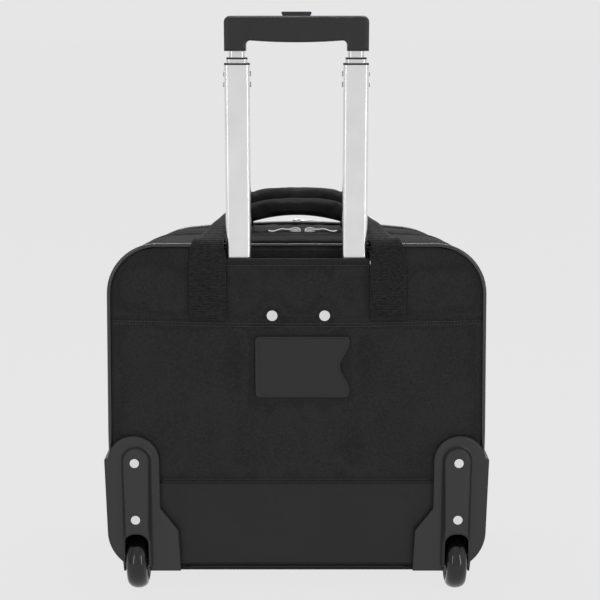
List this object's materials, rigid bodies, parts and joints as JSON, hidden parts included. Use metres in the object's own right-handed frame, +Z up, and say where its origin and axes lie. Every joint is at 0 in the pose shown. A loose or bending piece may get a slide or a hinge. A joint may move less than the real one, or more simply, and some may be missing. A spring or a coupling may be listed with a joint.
{
  "type": "rolling laptop case",
  "caption": "Soft-sided upright laptop case with rigid wheel housings, telescoping tow handle, padded carry handles and zipped sections that open.",
  "frame": {"origin": "centre of the footprint at floor level", "axes": "+Z up along the tow handle; -Y is the back, the side the tow handle and wheels are on; +X is to the right seen from the back"},
  "size_m": [0.4424, 0.222, 0.6633],
  "materials": {
    "pack_cloth": "matt woven",
    "coated_cloth": "smooth coated",
    "webbing": "ribbed webbing",
    "piping": "satin bead",
    "lining": "brushed lining",
    "board": "moulded sheet",
    "card_leather": "smooth",
    "housing": "fine matt",
    "grip": "fine matt",
    "button": "fine matt",
    "collar": "gloss",
    "tube": "satin anodised",
    "steel": "plain",
    "rivet": "polished",
    "zip_metal": "satin",
    "tyre": "gloss rolled",
    "hub": "satin",
    "foot_rubber": "matt"
  },
  "bodies": {
    "case": {"back_lower_panel": "coated_cloth", "back_main_panel": "pack_cloth", "piping_rear": "piping", "gusset_rear": "pack_cloth", "inner_board": "board", "laptop_pad": "lining", "laptop_sleeve": "lining", "base_panel": "board", "front_feet": "foot_rubber", "label_pocket": "card_leather", "strap_back_left": "webbing", "strap_back_right": "webbing", "bracket_rivets": "rivet", "outer_tube_left": "tube", "outer_tube_right": "tube", "outer_collars": "collar", "bracket_upper": "steel", "bracket_lower": "board", "wheel_axles": "steel", "housing_rivets": "rivet", "wheel_housing_left": "housing", "wheel_housing_right": "housing"},
    "wheel_left": {"tyre_left": "tyre", "hub_left": "hub"},
    "wheel_right": {"tyre_right": "tyre", "hub_right": "hub"},
    "tow_stage1": {"stage1_tube_left": "tube", "stage1_tube_right": "tube", "stage1_collars": "collar", "stage1_feet": "board", "stage1_rivets": "steel"},
    "tow_stage2": {"stage2_tube_left": "tube", "stage2_tube_right": "tube", "stage2_collars": "collar", "stage2_feet": "board"},
    "tow_grip": {"stage3_tube_left": "tube", "stage3_tube_right": "tube", "stage3_feet": "board", "grip_rear_shell": "grip", "grip_front_shell": "grip", "grip_screws": "steel", "button_spring": "steel"},
    "button": {"release_button": "button", "release_rods": "steel"},
    "pins": {"lock_pins": "steel"},
    "file_section": {"mid_gusset": "pack_cloth", "mid_front_panel": "pack_cloth", "mid_piping": "piping", "file_divider": "lining"},
    "lid": {"lid_gusset": "pack_cloth", "lid_panel": "pack_cloth"},
    "handle_rear": {"carry_handle_rear": "webbing"},
    "handle_front": {"carry_handle_front": "webbing"},
    "slider_a": {"zip_slider_a": "zip_metal"},
    "pull_a": {"zip_pull_a": "zip_metal"},
    "slider_b": {"zip_slider_b": "zip_metal"},
    "pull_b": {"zip_pull_b": "zip_metal"},
    "slider_c": {"zip_slider_c": "zip_metal"},
    "pull_c": {"zip_pull_c": "zip_metal"}
  },
  "joints": [
    {"name": "wheel_left_spin", "type": "hinge", "parent": "case", "child": "wheel_left", "pos_m": [-0.1856, -0.079, 0.032], "axis": [1, 0, 0], "continuous": true},
    {"name": "wheel_right_spin", "type": "hinge", "parent": "case", "child": "wheel_right", "pos_m": [0.1856, -0.079, 0.032], "axis": [1, 0, 0], "continuous": true},
    {"name": "tow_lower_slide", "type": "slide", "parent": "case", "child": "tow_stage1", "axis": [0, 0, 1], "range_m": [-0.193, 0]},
    {"name": "tow_middle_slide", "type": "slide", "parent": "tow_stage1", "child": "tow_stage2", "axis": [0, 0, 1], "range_m": [0, 0.19]},
    {"name": "tow_upper_slide", "type": "slide", "parent": "tow_stage2", "child": "tow_grip", "axis": [0, 0, 1], "range_m": [0, 0.19]},
    {"name": "button_press", "type": "slide", "parent": "tow_grip", "child": "button", "axis": [0, 0, -1], "range_m": [0, 0.004], "stiffness_N_per_m": 800, "springref_m": -0.004, "deforming": ["button_spring"]},
    {"name": "lock_pin_draw", "type": "slide", "parent": "tow_grip", "child": "pins", "axis": [0, 1, 0], "range_m": [0, 0.002]},
    {"name": "file_section_open", "type": "hinge", "parent": "case", "child": "file_section", "pos_m": [0, 0.072, 0.029], "axis": [-1, 0, 0], "range_deg": [0, 30]},
    {"name": "lid_open", "type": "hinge", "parent": "file_section", "child": "lid", "pos_m": [0, 0.0745, 0.03], "axis": [-1, 0, 0], "range_deg": [0, 30]},
    {"name": "carry_rear_fold", "type": "hinge", "parent": "case", "child": "handle_rear", "pos_m": [0, -0.083, 0.411], "axis": [1, 0, 0], "range_deg": [-6, 20]},
    {"name": "carry_front_fold", "type": "hinge", "parent": "file_section", "child": "handle_front", "pos_m": [0, 0.063, 0.411], "axis": [-1, 0, 0], "range_deg": [-4, 35]},
    {"name": "zip_a_run", "type": "slide", "parent": "case", "child": "slider_a", "axis": [1, 0, 0], "range_m": [-0.1, 0]},
    {"name": "zip_b_run", "type": "slide", "parent": "case", "child": "slider_b", "axis": [1, 0, 0], "range_m": [0, 0.09]},
    {"name": "zip_c_run", "type": "slide", "parent": "file_section", "child": "slider_c", "axis": [1, 0, 0], "range_m": [-0.1, 0.1]},
    {"name": "pull_a_swing", "type": "hinge", "parent": "slider_a", "child": "pull_a", "pos_m": [-0.009, 0.0045, 0.41165], "axis": [0, 1, 0], "range_deg": [0, 35]},
    {"name": "pull_b_swing", "type": "hinge", "parent": "slider_b", "child": "pull_b", "pos_m": [0.023, 0.0045, 0.41165], "axis": [0, -1, 0], "range_deg": [0, 35]},
    {"name": "pull_c_swing", "type": "hinge", "parent": "slider_c", "child": "pull_c", "pos_m": [0.008, 0.076, 0.41165], "axis": [0, -1, 0], "range_deg": [0, 35]}
  ],
  "couplings": [
    {"joint": "lock_pin_draw", "follows": "button_press", "ratio": 0.5}
  ]
}
